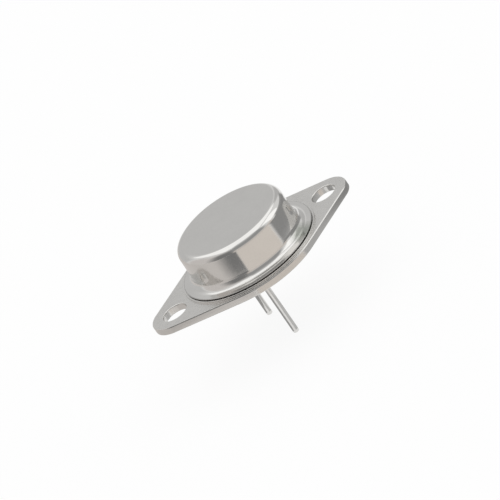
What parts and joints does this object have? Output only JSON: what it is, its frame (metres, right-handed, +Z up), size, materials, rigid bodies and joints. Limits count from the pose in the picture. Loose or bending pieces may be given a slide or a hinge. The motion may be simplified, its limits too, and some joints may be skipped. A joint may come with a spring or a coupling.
{
  "type": "power transistor",
  "caption": "Power transistor in a sealed metal can: a rhombic steel header with screw holes at its ends, a round drawn cap and stiff leads underneath.",
  "frame": {"origin": "centre of the mounting face under the header, midway between the screw holes", "axes": "+Z up through the cap, X along the header's long axis with the lead row on the -X side, Y across it; the leads leave along -Z"},
  "size_m": [0.0384, 0.025, 0.02],
  "materials": {
    "header_steel": "satin nickel plate",
    "cap_steel": "semi-bright nickel plate",
    "lead_plating": "bright nickel plate",
    "seal_glass": "fired",
    "copper": "turned",
    "braze": "as melted",
    "solder": "as melted",
    "silicon": "polished",
    "clip_strip": "rolled nickel strip"
  },
  "bodies": {
    "root": {"header": "header_steel", "cap": "cap_steel", "emitter_lead": "lead_plating", "base_lead": "lead_plating", "emitter_seal": "seal_glass", "base_seal": "seal_glass", "heat_spreader": "copper", "spreader_braze": "braze", "die_solder": "solder", "die": "silicon", "emitter_clip": "clip_strip", "base_clip": "clip_strip", "emitter_clip_solder": "solder", "base_clip_solder": "solder"}
  },
  "joints": []
}
